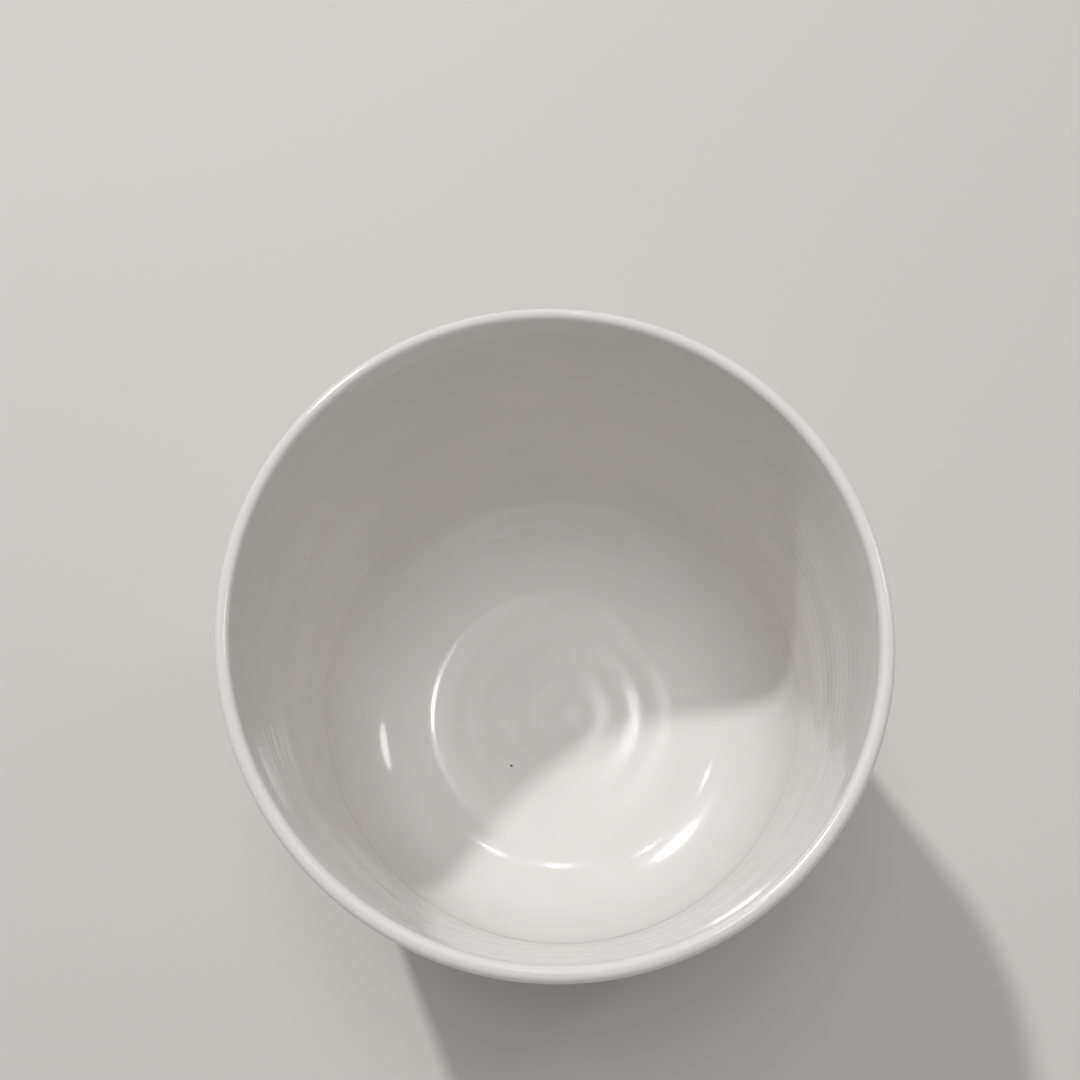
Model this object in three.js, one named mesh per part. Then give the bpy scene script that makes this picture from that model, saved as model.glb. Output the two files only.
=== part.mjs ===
// A straight-sided porcelain sake cup, wheel-thrown and turned, glazed all over but for the edge that it stands on.
// Millimetres, +Z up. The origin is on the cup's axis, in the plane that the foot ring stands on.
import * as THREE from "three";

// Driving dimensions.
const RIM_DIAMETER = 65;
const CUP_HEIGHT = 52;
const INNER_DEPTH = 44;
const LIP_THICKNESS = 1.5;
const WALL_DRAFT = 1.0; // how much narrower the outside is at the waist than at the rim, on the radius
const WAIST_HEIGHT = 19; // where the straight wall turns in to the foot
const FOOT_DIAMETER = 41;
const FOOT_WALL = 3.4;
const FOOT_WELL_DEPTH = 4.6; // from the standing plane up to the clay inside the foot ring
const BARE_FOOT = 1.2; // the glaze is wiped off below this height
const GLAZE = 0.3;
const MIKOMI_RADIUS = 17; // the flat middle of the floor
const DIMPLE = 0.5; // how much lower the middle of the floor is than its edge
const RING_RIPPLE = 0.12; // height of the throwing rings that show on the inner wall
const RING_COUNT = 3;

const SEGMENTS = 48;
const RIM_RADIUS = RIM_DIAMETER / 2;
const FOOT_RADIUS = FOOT_DIAMETER / 2;
const FLOOR_HEIGHT = CUP_HEIGHT - INNER_DEPTH;
const LIP_RADIUS = LIP_THICKNESS / 2;
const CROWN_RADIUS = RIM_RADIUS - LIP_RADIUS;
const LIP_HEIGHT = CUP_HEIGHT - LIP_RADIUS; // where the straight wall ends and the round lip begins
const WAIST_RADIUS = RIM_RADIUS - WALL_DRAFT;
const WAIST_WALL = 2.7;
const INNER_WALL_RADIUS = WAIST_RADIUS - WAIST_WALL;
const FOOT_JOIN_HEIGHT = 5.6; // where the belly meets the foot ring's outside

// Points of a path, with doubled points at the joins of its curves taken out.
function pointsOf(path, divisions) {
  return path.getPoints(divisions).filter((p, i, all) => i === 0 || p.distanceTo(all[i - 1]) > 1e-4);
}

// The inside, from the middle of the floor to the crown of the lip.
function innerSurface() {
  const bowl = new THREE.Path();
  bowl.moveTo(0, FLOOR_HEIGHT - DIMPLE);
  bowl.quadraticCurveTo(MIKOMI_RADIUS * 0.6, FLOOR_HEIGHT - DIMPLE, MIKOMI_RADIUS, FLOOR_HEIGHT);
  bowl.bezierCurveTo(
    MIKOMI_RADIUS + 8, FLOOR_HEIGHT + 0.7,
    INNER_WALL_RADIUS, FLOOR_HEIGHT + 4,
    INNER_WALL_RADIUS, FLOOR_HEIGHT + 12,
  );
  const points = pointsOf(bowl, 4);
  const wallFoot = FLOOR_HEIGHT + 12;
  const wallTop = LIP_HEIGHT - 1.5;
  const steps = RING_COUNT * 4;
  for (let i = 1; i <= steps; i++) {
    const t = i / steps;
    const lean = THREE.MathUtils.lerp(INNER_WALL_RADIUS, CROWN_RADIUS - LIP_RADIUS - 0.25, t);
    const ripple = (RING_RIPPLE / 2) * Math.sin(t * RING_COUNT * 2 * Math.PI) * Math.sin(t * Math.PI);
    points.push(new THREE.Vector2(lean + ripple, THREE.MathUtils.lerp(wallFoot, wallTop, t)));
  }
  return [...points, ...lipArc(Math.PI, Math.PI / 2)];
}

// Part of the round lip, between two angles about its centre.
function lipArc(from, to) {
  const steps = 3;
  return Array.from({ length: steps + 1 }, (_, i) => {
    const angle = THREE.MathUtils.lerp(from, to, i / steps);
    return new THREE.Vector2(
      CROWN_RADIUS + LIP_RADIUS * Math.cos(angle),
      LIP_HEIGHT + LIP_RADIUS * Math.sin(angle),
    );
  });
}

// The outside, from the crown of the lip down to where the glaze stops on the foot ring.
function outerSurface() {
  const side = new THREE.Path();
  side.moveTo(RIM_RADIUS, LIP_HEIGHT);
  side.quadraticCurveTo(RIM_RADIUS - 0.3, LIP_HEIGHT - 8, WAIST_RADIUS, WAIST_HEIGHT);
  side.bezierCurveTo(
    WAIST_RADIUS - 0.2, WAIST_HEIGHT - 8,
    FOOT_RADIUS + 6, FOOT_JOIN_HEIGHT + 1.2,
    FOOT_RADIUS, FOOT_JOIN_HEIGHT,
  );
  const foot = [new THREE.Vector2(FOOT_RADIUS - 0.3, BARE_FOOT)];
  return [...lipArc(Math.PI / 2, 0), ...pointsOf(side, 5).slice(1), ...foot];
}

// The same line, moved to its right-hand side by a distance.
function offset(points, distance) {
  return points.map((p, i) => {
    const before = points[Math.max(i - 1, 0)];
    const after = points[Math.min(i + 1, points.length - 1)];
    const along = after.clone().sub(before).normalize();
    return new THREE.Vector2(p.x + along.y * distance, p.y - along.x * distance);
  });
}

// The clay under the glaze: the inside line goes under it at the crown, the axis and the foot.
function clayLines() {
  const inner = offset(innerSurface(), GLAZE);
  const outer = offset(outerSurface(), GLAZE);
  inner[0].x = 0;
  inner[inner.length - 1].set(CROWN_RADIUS, CUP_HEIGHT - GLAZE);
  outer[0].set(CROWN_RADIUS, CUP_HEIGHT - GLAZE);
  outer[outer.length - 1].y = BARE_FOOT;
  return { inner, outer };
}

function porcelain(color, roughness) {
  return new THREE.MeshStandardMaterial({ color, roughness, metalness: 0 });
}

// A profile that runs round the section with the material on its left, turned about the axis.
function turned(name, profile, material) {
  const geometry = new THREE.LatheGeometry([...profile, profile[0].clone()], SEGMENTS);
  geometry.rotateX(Math.PI / 2);
  const mesh = new THREE.Mesh(geometry, material);
  mesh.name = name;
  return mesh;
}

// Where the clay's outside line passes the flat underside of the body.
function radiusAt(line, height) {
  const i = line.findIndex((p) => p.y < height);
  const above = line[i - 1];
  const below = line[i];
  return THREE.MathUtils.lerp(above.x, below.x, (above.y - height) / (above.y - below.y));
}

const clay = clayLines();
const bodyFootRadius = radiusAt(clay.outer, FOOT_WELL_DEPTH);
const footOutside = clay.outer[clay.outer.length - 1].x;
const footInside = FOOT_RADIUS - GLAZE - FOOT_WALL;
const bareClay = porcelain("#e9e5dd", 0.75);
const glazed = porcelain("#eceae6", 0.12);

// The thrown body: wall and floor in one piece, with a flat underside for the foot ring.
function cupBody() {
  const outside = clay.outer.slice(1).filter((p) => p.y > FOOT_WELL_DEPTH);
  return turned(
    "cup_body",
    [
      ...clay.inner,
      ...outside,
      new THREE.Vector2(bodyFootRadius, FOOT_WELL_DEPTH),
      new THREE.Vector2(0, FOOT_WELL_DEPTH),
    ].reverse(),
    bareClay,
  );
}

// The foot ring, with its bare standing edge rounded off on both sides.
function footRing() {
  const edge = 0.5;
  return turned(
    "foot_ring",
    [
      new THREE.Vector2(footInside, FOOT_WELL_DEPTH),
      new THREE.Vector2(footInside + 0.2, BARE_FOOT),
      new THREE.Vector2(footInside + 0.35, edge),
      new THREE.Vector2(footInside + 0.9, 0),
      new THREE.Vector2(footOutside - 0.9, 0),
      new THREE.Vector2(footOutside - 0.25, edge),
      new THREE.Vector2(footOutside, BARE_FOOT),
      new THREE.Vector2(bodyFootRadius, FOOT_WELL_DEPTH),
    ],
    bareClay,
  );
}

// The coat inside the cup, poured first: it ends at the crown of the lip.
function innerGlaze() {
  return turned("inner_glaze", [...clay.inner, ...innerSurface().reverse()], glazed);
}

// The coat outside, from the crown of the lip to the wiped line on the foot ring.
function outerGlaze() {
  return turned("outer_glaze", [...clay.outer.slice().reverse(), ...outerSurface()].reverse(), glazed);
}

// The coat inside the foot ring: over its flat middle and down the ring's inner wall to the wiped line.
function footWellGlaze() {
  const corner = 0.6;
  return turned(
    "foot_well_glaze",
    [
      new THREE.Vector2(0, FOOT_WELL_DEPTH - GLAZE),
      new THREE.Vector2(footInside - GLAZE - corner, FOOT_WELL_DEPTH - GLAZE),
      new THREE.Vector2(footInside - GLAZE, FOOT_WELL_DEPTH - GLAZE - corner),
      new THREE.Vector2(footInside + 0.2 - GLAZE, BARE_FOOT),
      new THREE.Vector2(footInside + 0.2, BARE_FOOT),
      new THREE.Vector2(footInside, FOOT_WELL_DEPTH),
      new THREE.Vector2(0, FOOT_WELL_DEPTH),
    ],
    glazed,
  );
}

const cup = new THREE.Group();
cup.add(cupBody(), footRing(), innerGlaze(), outerGlaze(), footWellGlaze());

export default cup;
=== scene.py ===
"""A white porcelain sake cup, seen from above and a little to one side, on a plain pale floor."""
import math

import bmesh
import bpy
from mathutils import Matrix, Vector


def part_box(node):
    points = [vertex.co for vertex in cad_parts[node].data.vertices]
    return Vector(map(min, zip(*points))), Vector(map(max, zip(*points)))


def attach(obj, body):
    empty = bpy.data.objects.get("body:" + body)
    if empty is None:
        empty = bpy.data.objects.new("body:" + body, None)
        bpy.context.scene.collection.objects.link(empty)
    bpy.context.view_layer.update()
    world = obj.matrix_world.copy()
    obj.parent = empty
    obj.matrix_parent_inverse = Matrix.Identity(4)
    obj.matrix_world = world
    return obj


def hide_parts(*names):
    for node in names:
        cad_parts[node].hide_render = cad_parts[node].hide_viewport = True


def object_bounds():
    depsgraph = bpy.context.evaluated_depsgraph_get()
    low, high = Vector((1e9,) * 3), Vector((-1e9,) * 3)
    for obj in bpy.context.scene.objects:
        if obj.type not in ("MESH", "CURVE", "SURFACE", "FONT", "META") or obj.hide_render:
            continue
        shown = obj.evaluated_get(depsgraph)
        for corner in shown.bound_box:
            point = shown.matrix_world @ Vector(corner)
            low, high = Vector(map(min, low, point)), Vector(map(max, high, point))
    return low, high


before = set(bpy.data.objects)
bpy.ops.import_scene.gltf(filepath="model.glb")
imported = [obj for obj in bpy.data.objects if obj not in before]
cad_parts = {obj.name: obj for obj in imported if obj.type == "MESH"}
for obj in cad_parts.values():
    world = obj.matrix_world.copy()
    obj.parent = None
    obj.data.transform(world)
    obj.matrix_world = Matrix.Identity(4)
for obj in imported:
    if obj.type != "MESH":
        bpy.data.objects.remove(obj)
cad_low, cad_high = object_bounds()

MM = 0.001

# Heights and radii that the frame holds.
RIM_RADIUS = (cad_high.x - cad_low.x) / 2
CUP_HEIGHT = cad_high.z
WELL_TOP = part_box("foot_ring")[1].z
BARE_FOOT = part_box("outer_glaze")[0].z
GLAZE = 0.3 * MM
FLOOR_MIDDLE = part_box("inner_glaze")[0].z + GLAZE

# The inside: a floor with a slight hollow, the bowl's turn, and the wall.
DIMPLE = 0.5 * MM
FLOOR_EDGE = FLOOR_MIDDLE + DIMPLE
MIKOMI_RADIUS = 17 * MM
HOLLOW_SHARE = 0.6  # how far out the hollow stays level, as a share of the mikomi's radius
BOWL_REACH = 8 * MM  # how far the floor runs on before it turns up
BOWL_LIFT = 0.7 * MM
BOWL_TURN = 4 * MM
BOWL_RISE = 12 * MM
WALL_BELOW_LIP = 1.5 * MM
LIP_FLARE = 0.25 * MM

# The outside: a nearly upright side, a round belly and the foot ring.
LIP_RADIUS = 0.75 * MM
CROWN_RADIUS = RIM_RADIUS - LIP_RADIUS
LIP_HEIGHT = CUP_HEIGHT - LIP_RADIUS
WALL_DRAFT = 1.0 * MM
WAIST_RADIUS = RIM_RADIUS - WALL_DRAFT
WAIST_HEIGHT = 19 * MM
WAIST_WALL = 2.7 * MM
INNER_WALL_RADIUS = WAIST_RADIUS - WAIST_WALL
CURVE_PULL = 8 * MM  # how far the side's and the belly's curves keep their direction
SIDE_DRAFT = 0.3 * MM
BELLY_DRAFT = 0.2 * MM
BELLY_REACH = 6 * MM
BELLY_LIFT = 1.2 * MM
FOOT_RADIUS = 20.5 * MM
FOOT_WALL = 3.4 * MM
FOOT_INSIDE = FOOT_RADIUS - GLAZE - FOOT_WALL
FOOT_JOIN = 5.6 * MM
FILLET_OUT = 0.5 * MM
FILLET_UP = 0.1 * MM
FILLET_DOWN = 0.6 * MM

# The wiped edge that the cup stands on, and the corner inside the foot ring.
WIPED_RADIUS = FOOT_RADIUS - 0.3 * MM
GLAZE_EDGE_BULGE = 0.05 * MM
GLAZE_EDGE_START = 0.5 * MM
GLAZE_EDGE_TUCK = 0.1 * MM
WIPED_INSIDE = FOOT_INSIDE + 0.2 * MM
STANDING_EDGE = 0.9 * MM  # how far in from each side the flat standing face begins
STANDING_BULGE = 0.1 * MM
WELL_CORNER = 1.2 * MM
WELL_EDGE_LIFT = 0.2 * MM
WELL_EDGE_TUCK = 0.05 * MM

# Marks of the hand. Ring heights are from the middle of the wave to its crest.
BROAD_RING = 0.06 * MM
BROAD_RINGS = 3
FINE_RING = 0.012 * MM
FINE_RINGS = 17
FINE_WANDER = 2
FINE_WANDER_PACE = 9
FLOOR_RING = 0.005 * MM
FLOOR_RINGS = 4
FLOOR_RING_FADE = 3

# How far the cup is from round, as a share of its radius at the lip.
OVAL = 0.022
OVAL_ANGLE = math.radians(-72)
THREE_LOBE = 0.002
THREE_LOBE_ANGLE = math.radians(20)

# How finely the surfaces are divided.
SEGMENTS = 240
LIP_STEPS = 12
FLOOR_STEPS = 40
BELLY_STEPS = 36
WALL_STEPS = 150
SIDE_STEPS = 48
CORNER_STEPS = 6
GLAZE_EDGE_STEPS = 10
FOOT_STEPS = 8
ON_AXIS = 1e-7
SHARP_ANGLE = math.radians(38)

# Colours and surfaces.
GLAZE_TONES = ((0.785, 0.76, 0.738), (0.755, 0.738, 0.716))
GLAZE_PATCHES = 55
GLAZE_SPREAD = (0.35, 0.7)
GLAZE_ROUGHNESS = (0.07, 0.15)
GLAZE_ROUGHNESS_PATCHES = 130.0
GLAZE_RELIEF = ((260, 0.012 * MM), (1500, 0.0012 * MM))
GLAZE_SCATTER = (1.6 * MM, 1.3 * MM, 1.0 * MM)
CLAY_TONES = ((0.72, 0.69, 0.645), (0.6, 0.56, 0.5))
CLAY_PATCHES = 240
CLAY_SPREAD = (0.45, 0.8)
CLAY_ROUGHNESS = 0.78
CLAY_RELIEF = ((2600, 0.02 * MM), (9000, 0.006 * MM))
PORCELAIN_IOR = 1.52
SPECK = (-6.6 * MM, -6.9 * MM, FLOOR_MIDDLE + 0.13 * MM)
SPECK_RADIUS = 0.22 * MM
SPECK_CORE = 0.4  # the share of the speck's radius that is fully dark
SPECK_COLOR = (0.12, 0.1, 0.09)
FLOOR_COLOR = (0.62, 0.6, 0.58)
BACKDROP_COLOR = (0.86, 0.85, 0.83)
ROOM_COLOR = (1.0, 0.972, 0.94)
ROOM_STRENGTH = 0.25

# The lamps: place in metres, width of the disk, power in watts.
KEY_LAMP = ((-0.245, 0.46, 0.63), 0.04, 3.0)
SIDE_LAMP = ((0.5, 0.3, 0.6), 0.14, 0.35)
OVERHEAD_LAMP = ((0, 0.05, 0.9), 0.5, 2.3)
SMALL_LAMP_PLACES = ((-0.03, 0.62), (0.1, 0.6), (-0.25, 0.7), (-0.38, 0.5), (0.02, 0.3))
SMALL_LAMP_HEIGHT = 1.3
SMALL_LAMP_WIDTH = 0.03
SMALL_LAMP_POWER = 0.1

# The photograph's frame and where the cup lies in it, in its own pixels.
FRAME_SIDE = 1080
FOCAL = 1081
RIM_CENTRE = (548.3, 602.4)  # of the rim itself, which is not the centre of its outline
RIM_RADIUS_FACE_ON = 346.5  # the rim's radius as it would measure face on, at its centre's distance
NADIR = (596.1, 985.6)  # where lines straight down meet
SENSOR_WIDTH = 36
NEAREST_SEEN = 0.005

FLOOR_SIDE = 6
FLOOR_DROP = 0.02 * MM  # the floor lies this far below the foot, so that the two faces don't coincide


def lerp(a, b, t):
    return a + (b - a) * t


def smooth(t):
    t = max(0.0, min(1.0, t))
    return t * t * (3 - 2 * t)


def bezier(points, count):
    """Points on a quadratic or cubic curve, its first point left out."""
    made = []
    for i in range(1, count + 1):
        t = i / count
        level = [Vector(p) for p in points]
        while len(level) > 1:
            level = [a.lerp(b, t) for a, b in zip(level, level[1:])]
        made.append(level[0])
    return made


def lip_arc(start, end):
    """Part of the round lip, as (radius, height) points."""
    angles = [lerp(start, end, i / LIP_STEPS) for i in range(LIP_STEPS + 1)]
    return [
        Vector((CROWN_RADIUS + LIP_RADIUS * math.cos(a), LIP_HEIGHT + LIP_RADIUS * math.sin(a)))
        for a in angles
    ]


def throwing_rings(t):
    """The finger marks up the inner wall: broad soft rings and fine lines on them."""
    fade = math.sin(t * math.pi)
    broad = BROAD_RING * math.sin(t * BROAD_RINGS * 2 * math.pi)
    wander = FINE_WANDER * math.sin(t * FINE_WANDER_PACE)
    fine = FINE_RING * math.sin(t * FINE_RINGS * 2 * math.pi + wander)
    return (broad + fine) * fade


def floor_rings(radius):
    """The faint rings that the last pass of the finger leaves on the floor."""
    t = radius / MIKOMI_RADIUS
    return FLOOR_RING * math.cos(t * FLOOR_RINGS * 2 * math.pi) * smooth(FLOOR_RING_FADE * (1 - t))


def inner_surface():
    """The inside, from the middle of the floor to the crown of the lip."""
    start = Vector((0, FLOOR_MIDDLE))
    level_to = (MIKOMI_RADIUS * HOLLOW_SHARE, FLOOR_MIDDLE)
    floor = bezier([start, level_to, (MIKOMI_RADIUS, FLOOR_EDGE)], FLOOR_STEPS)
    bowl = bezier(
        [
            (MIKOMI_RADIUS, FLOOR_EDGE),
            (MIKOMI_RADIUS + BOWL_REACH, FLOOR_EDGE + BOWL_LIFT),
            (INNER_WALL_RADIUS, FLOOR_EDGE + BOWL_TURN),
            (INNER_WALL_RADIUS, FLOOR_EDGE + BOWL_RISE),
        ],
        BELLY_STEPS,
    )
    points = [start] + [Vector((p.x, p.y + floor_rings(p.x))) for p in floor] + bowl
    low = FLOOR_EDGE + BOWL_RISE
    high = LIP_HEIGHT - WALL_BELOW_LIP
    for i in range(1, WALL_STEPS + 1):
        t = i / WALL_STEPS
        radius = lerp(INNER_WALL_RADIUS, CROWN_RADIUS - LIP_RADIUS - LIP_FLARE, t)
        points.append(Vector((radius + throwing_rings(t), lerp(low, high, t))))
    return points + lip_arc(math.pi, math.pi / 2)


def outer_surface():
    """The outside, from the crown of the lip to where the glaze stops on the foot ring."""
    side = bezier(
        [
            (RIM_RADIUS, LIP_HEIGHT),
            (RIM_RADIUS - SIDE_DRAFT, LIP_HEIGHT - CURVE_PULL),
            (WAIST_RADIUS, WAIST_HEIGHT),
        ],
        SIDE_STEPS,
    )
    belly = bezier(
        [
            (WAIST_RADIUS, WAIST_HEIGHT),
            (WAIST_RADIUS - BELLY_DRAFT, WAIST_HEIGHT - CURVE_PULL),
            (FOOT_RADIUS + BELLY_REACH, FOOT_JOIN + BELLY_LIFT),
            (FOOT_RADIUS + FILLET_OUT, FOOT_JOIN + FILLET_UP),
        ],
        BELLY_STEPS,
    )
    corner = bezier(
        [belly[-1], (FOOT_RADIUS, FOOT_JOIN), (FOOT_RADIUS, FOOT_JOIN - FILLET_DOWN)], CORNER_STEPS
    )
    edge = bezier(
        [
            corner[-1],
            (WIPED_RADIUS + GLAZE_EDGE_BULGE, BARE_FOOT + GLAZE_EDGE_START),
            (WIPED_RADIUS - GLAZE_EDGE_TUCK, BARE_FOOT),
        ],
        GLAZE_EDGE_STEPS,
    )
    return lip_arc(math.pi / 2, 0) + side + belly + corner + edge


def offset(points, distance):
    """The same line, moved to its right-hand side."""
    moved = []
    for i, p in enumerate(points):
        along = (points[min(i + 1, len(points) - 1)] - points[max(i - 1, 0)]).normalized()
        moved.append(Vector((p.x + along.y * distance, p.y - along.x * distance)))
    return moved


def clay_surfaces(inner, outer):
    """The clay under both coats, meeting below the crown of the lip."""
    inner_clay, outer_clay = offset(inner, GLAZE), offset(outer, GLAZE)
    inner_clay[0].x = 0
    for line, end in ((inner_clay, -1), (outer_clay, 0)):
        line[end] = Vector((CROWN_RADIUS, CUP_HEIGHT - GLAZE))
    outer_clay[-1].y = BARE_FOOT
    outer_clay[-1].x = outer_clay[-2].x
    return inner_clay, outer_clay


def foot_ring_profile(top, low):
    """The ring of bare clay: its top and low outer radii are where the outer coat lies on it."""
    inner_flat, outer_flat = WIPED_INSIDE + STANDING_EDGE, low - STANDING_EDGE
    inner_corner = [(WIPED_INSIDE, BARE_FOOT), (WIPED_INSIDE + STANDING_BULGE, 0), (inner_flat, 0)]
    outer_corner = [(outer_flat, 0), (low - STANDING_BULGE, 0), (low, BARE_FOOT)]
    return (
        [Vector((FOOT_INSIDE, WELL_TOP)), Vector((WIPED_INSIDE, BARE_FOOT))]
        + bezier(inner_corner, FOOT_STEPS)
        + [Vector((outer_flat, 0))]
        + bezier(outer_corner, FOOT_STEPS)
        + [Vector((top, WELL_TOP))]
    )


def well_glaze_profile():
    """The coat under the cup: across the well, round its corner and down the ring's inside."""
    ceiling, side = WELL_TOP - GLAZE, FOOT_INSIDE - GLAZE
    corner = [(side - WELL_CORNER, ceiling), (side, ceiling), (side, ceiling - WELL_CORNER)]
    edge = [
        (side, ceiling - WELL_CORNER),
        (WIPED_INSIDE - GLAZE, BARE_FOOT + WELL_EDGE_LIFT),
        (WIPED_INSIDE - WELL_EDGE_TUCK, BARE_FOOT),
    ]
    return (
        [Vector((0, ceiling)), Vector((side - WELL_CORNER, ceiling))]
        + bezier(corner, FOOT_STEPS)
        + bezier(edge, FOOT_STEPS)
        + [Vector((WIPED_INSIDE, BARE_FOOT)), Vector((FOOT_INSIDE, WELL_TOP)), Vector((0, WELL_TOP))]
    )


def out_of_round(angle, height):
    """How much a point's distance from the axis is stretched: nothing at the foot, most at the lip."""
    share = smooth(height / CUP_HEIGHT)
    oval = OVAL * math.cos(2 * (angle - OVAL_ANGLE))
    lobes = THREE_LOBE * math.cos(3 * (angle - THREE_LOBE_ANGLE))
    return 1 + share * (oval + lobes)


def turned(name, profile):
    """A closed profile turned about the axis, with the hand-thrown cup's slight ovalness."""
    vertices, rings, faces = [], [], []
    for p in profile:
        if p.x < ON_AXIS:
            rings.append([len(vertices)] * SEGMENTS)
            vertices.append((0, 0, p.y))
            continue
        rings.append(list(range(len(vertices), len(vertices) + SEGMENTS)))
        for i in range(SEGMENTS):
            angle = 2 * math.pi * i / SEGMENTS
            radius = p.x * out_of_round(angle, p.y)
            vertices.append((radius * math.cos(angle), radius * math.sin(angle), p.y))
    for a, b in zip(rings, rings[1:] + rings[:1]):
        for i in range(SEGMENTS):
            j = (i + 1) % SEGMENTS
            corners = list(dict.fromkeys([a[i], a[j], b[j], b[i]]))
            if len(corners) > 2:
                faces.append(corners)
    mesh = bpy.data.meshes.new(name)
    mesh.from_pydata(vertices, [], faces)
    mesh.validate()
    mesh.shade_smooth()
    mesh.set_sharp_from_angle(angle=SHARP_ANGLE)
    piece = bpy.data.objects.new(name, mesh)
    bpy.context.scene.collection.objects.link(piece)
    return piece


def facing_out(piece):
    """The same closed piece, its faces turned to face out."""
    work = bmesh.new()
    work.from_mesh(piece.data)
    bmesh.ops.recalc_face_normals(work, faces=work.faces)
    work.to_mesh(piece.data)
    work.free()
    return piece


def node(tree, kind, inputs=None, **settings):
    """A new shader node with its settings and the values of its sockets."""
    made = tree.nodes.new(kind)
    for key, value in settings.items():
        setattr(made, key, value)
    for key, value in (inputs or {}).items():
        made.inputs[key].default_value = value
    return made


def porcelain_base(name):
    """A principled material with object coordinates, ready for its details."""
    material = bpy.data.materials.new(name)
    material.use_nodes = True
    tree = material.node_tree
    shader = tree.nodes["Principled BSDF"]
    shader.inputs["IOR"].default_value = PORCELAIN_IOR
    coords = node(tree, "ShaderNodeTexCoord")
    return material, tree, shader, coords


def tinted(tree, coords, tones, scale, spread):
    """Two close tones of one colour, mixed by a soft noise."""
    noise = node(tree, "ShaderNodeTexNoise", {"Scale": scale, "Detail": 3.0, "Roughness": 0.5})
    tree.links.new(coords.outputs["Object"], noise.inputs["Vector"])
    ramp = node(tree, "ShaderNodeValToRGB")
    for stop, position, tone in zip(ramp.color_ramp.elements, spread, tones):
        stop.position = position
        stop.color = (*tone, 1)
    tree.links.new(noise.outputs["Fac"], ramp.inputs["Fac"])
    return ramp.outputs["Color"]


def with_speck(tree, coords, color):
    """The colour with one dark iron speck in the glaze, inside a small radius of its place."""
    away = node(tree, "ShaderNodeVectorMath", operation="DISTANCE")
    away.inputs[1].default_value = SPECK
    tree.links.new(coords.outputs["Object"], away.inputs[0])
    span = {"From Min": SPECK_RADIUS, "From Max": SPECK_RADIUS * SPECK_CORE, "To Min": 0.0, "To Max": 1.0}
    near = node(tree, "ShaderNodeMapRange", span)
    tree.links.new(away.outputs["Value"], near.inputs["Value"])
    mix = node(tree, "ShaderNodeMix", data_type="RGBA")
    mix.inputs["B"].default_value = (*SPECK_COLOR, 1)
    tree.links.new(near.outputs["Result"], mix.inputs["Factor"])
    tree.links.new(color, mix.inputs["A"])
    return mix.outputs["Result"]


def bumped(tree, shader, coords, layers):
    """Relief from several sizes of noise: (scale, height in metres) each."""
    normal = None
    for scale, height in layers:
        noise = node(tree, "ShaderNodeTexNoise", {"Scale": scale, "Detail": 2.0})
        tree.links.new(coords.outputs["Object"], noise.inputs["Vector"])
        bump = node(tree, "ShaderNodeBump", {"Strength": 1.0, "Distance": height})
        tree.links.new(noise.outputs["Fac"], bump.inputs["Height"])
        if normal:
            tree.links.new(normal, bump.inputs["Normal"])
        normal = bump.outputs["Normal"]
    tree.links.new(normal, shader.inputs["Normal"])


def glaze_material():
    """Clear glossy glaze over white porcelain: a warm white in soft patches, slightly uneven."""
    material, tree, shader, coords = porcelain_base("glaze")
    color = with_speck(tree, coords, tinted(tree, coords, GLAZE_TONES, GLAZE_PATCHES, GLAZE_SPREAD))
    tree.links.new(color, shader.inputs["Base Color"])
    uneven = node(tree, "ShaderNodeTexNoise", {"Scale": GLAZE_ROUGHNESS_PATCHES, "Detail": 2.0})
    tree.links.new(coords.outputs["Object"], uneven.inputs["Vector"])
    low, high = GLAZE_ROUGHNESS
    span = {"From Min": 0.3, "From Max": 0.7, "To Min": low, "To Max": high}
    rough = node(tree, "ShaderNodeMapRange", span)
    tree.links.new(uneven.outputs["Fac"], rough.inputs["Value"])
    tree.links.new(rough.outputs["Result"], shader.inputs["Roughness"])
    shader.inputs["Subsurface Weight"].default_value = 0.12
    shader.inputs["Subsurface Radius"].default_value = GLAZE_SCATTER
    shader.inputs["Subsurface Scale"].default_value = 1.0
    shader.inputs["Coat Weight"].default_value = 0.35
    shader.inputs["Coat Roughness"].default_value = 0.04
    bumped(tree, shader, coords, GLAZE_RELIEF)
    return material


def clay_material():
    """Bare fired porcelain: matte, fine grained, warmer than the glaze, faintly mottled."""
    material, tree, shader, coords = porcelain_base("bare_porcelain")
    shader.inputs["Roughness"].default_value = CLAY_ROUGHNESS
    color = tinted(tree, coords, CLAY_TONES, CLAY_PATCHES, CLAY_SPREAD)
    tree.links.new(color, shader.inputs["Base Color"])
    bumped(tree, shader, coords, CLAY_RELIEF)
    return material


def build_cup():
    """The five pieces, each in place of its plain solid."""
    inner, outer = inner_surface(), outer_surface()
    inner_clay, outer_clay = clay_surfaces(inner, outer)
    body_side = [p for p in outer_clay[1:] if p.y > WELL_TOP]
    foot_top = body_side[-1].x
    body_base = [Vector((foot_top, WELL_TOP)), Vector((0, WELL_TOP))]
    glaze, clay = glaze_material(), clay_material()
    pieces = {
        "cup_body": (inner_clay + body_side + body_base, clay, "porcelain"),
        "inner_glaze": (inner_clay + inner[::-1], glaze, "glaze"),
        "outer_glaze": (outer_clay + outer[::-1], glaze, "glaze"),
        "foot_ring": (foot_ring_profile(foot_top, outer_clay[-1].x), clay, "porcelain"),
        "foot_well_glaze": (well_glaze_profile(), glaze, "glaze"),
    }
    for name, (profile, material, slot) in pieces.items():
        piece = facing_out(turned(name + "_fine", profile))
        piece.data.materials.append(material)
        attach(piece, "root")
        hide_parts(name)


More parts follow.
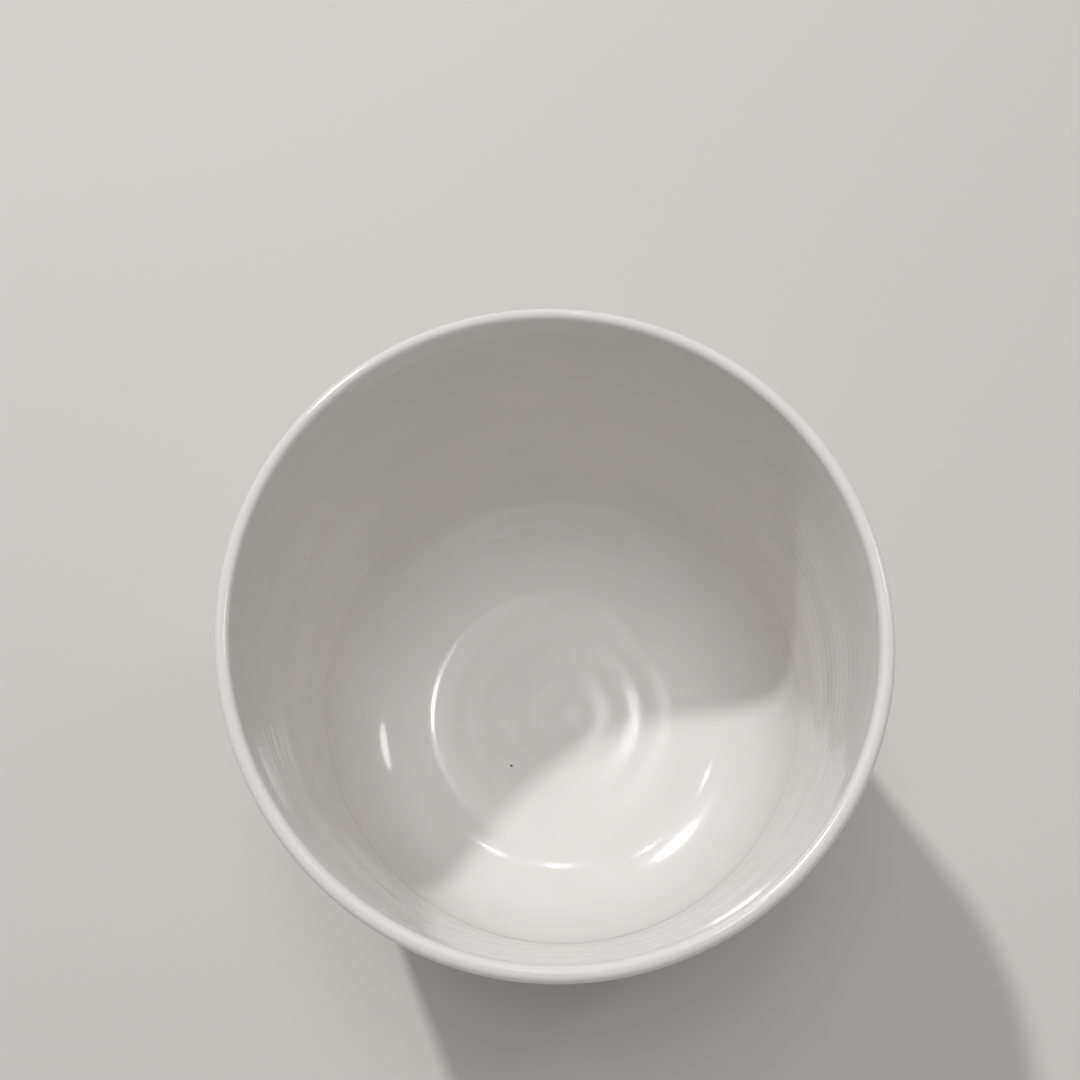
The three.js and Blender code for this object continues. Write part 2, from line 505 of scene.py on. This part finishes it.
def build_floor():
    """A wide pale floor that keeps the cup's shadow."""
    bpy.ops.mesh.primitive_plane_add(size=FLOOR_SIDE, location=(0, 0, -FLOOR_DROP))
    floor = bpy.context.object
    floor.name = "floor"
    material = bpy.data.materials.new("pale_floor")
    material.use_nodes = True
    shader = material.node_tree.nodes["Principled BSDF"]
    shader.inputs["Base Color"].default_value = (*FLOOR_COLOR, 1)
    shader.inputs["Roughness"].default_value = 0.9
    floor.data.materials.append(material)


def lamp(name, where, width, power):
    """A round lamp that faces the middle of the cup."""
    data = bpy.data.lights.new(name, "AREA")
    data.shape = "DISK"
    data.size = width
    data.energy = power
    made = bpy.data.objects.new(name, data)
    made.location = where
    aim = Vector((0, 0, CUP_HEIGHT / 2))
    made.rotation_euler = (aim - Vector(where)).to_track_quat("-Z", "Y").to_euler()
    bpy.context.scene.collection.objects.link(made)
    return made


def build_lamps():
    """A key from behind and to the left, a weak side lamp, a soft one overhead and five small ones."""
    lamp("key", *KEY_LAMP)
    lamp("side", *SIDE_LAMP)
    lamp("overhead", *OVERHEAD_LAMP).visible_glossy = False
    for i, place in enumerate(SMALL_LAMP_PLACES):
        lamp(f"small_lamp_{i}", (*place, SMALL_LAMP_HEIGHT), SMALL_LAMP_WIDTH, SMALL_LAMP_POWER)


def build_room():
    """Even light from all round, with a paler backdrop where the camera looks past the floor."""
    world = bpy.data.worlds.new("room")
    bpy.context.scene.world = world
    world.use_nodes = True
    tree = world.node_tree
    room = tree.nodes["Background"]
    room.inputs["Color"].default_value = (*ROOM_COLOR, 1)
    room.inputs["Strength"].default_value = ROOM_STRENGTH
    backdrop = node(tree, "ShaderNodeBackground", {"Color": (*BACKDROP_COLOR, 1), "Strength": 1.0})
    mix = node(tree, "ShaderNodeMixShader")
    path = node(tree, "ShaderNodeLightPath")
    tree.links.new(path.outputs["Is Camera Ray"], mix.inputs["Fac"])
    tree.links.new(room.outputs["Background"], mix.inputs[1])
    tree.links.new(backdrop.outputs["Background"], mix.inputs[2])
    tree.links.new(mix.outputs["Shader"], tree.nodes["World Output"].inputs["Surface"])


def ray(pixel):
    """The direction of a pixel of the photograph, in the camera's own axes."""
    return Vector((pixel[0] - FRAME_SIDE / 2, FRAME_SIDE / 2 - pixel[1], -FOCAL))


def build_camera():
    """The photograph's camera: it looks down at the cup, tipped so that the far inner wall shows most."""
    up = -ray(NADIR).normalized()
    side = Vector((1, 0, 0))
    right = (side - side.dot(up) * up).normalized()
    turn = Matrix((right, up.cross(right), up))
    data = bpy.data.cameras.new("camera")
    data.sensor_width = SENSOR_WIDTH
    data.lens = SENSOR_WIDTH * FOCAL / FRAME_SIDE
    data.clip_start = NEAREST_SEEN
    camera = bpy.data.objects.new("camera", data)
    bpy.context.scene.collection.objects.link(camera)
    to_rim = turn @ ray(RIM_CENTRE) * (RIM_RADIUS / RIM_RADIUS_FACE_ON)
    camera.matrix_world = Matrix.Translation(Vector((0, 0, CUP_HEIGHT)) - to_rim) @ turn.to_4x4()
    bpy.context.scene.camera = camera


build_camera()
build_cup()
build_floor()
build_lamps()
build_room()
bpy.context.scene.view_settings.view_transform = "Standard"
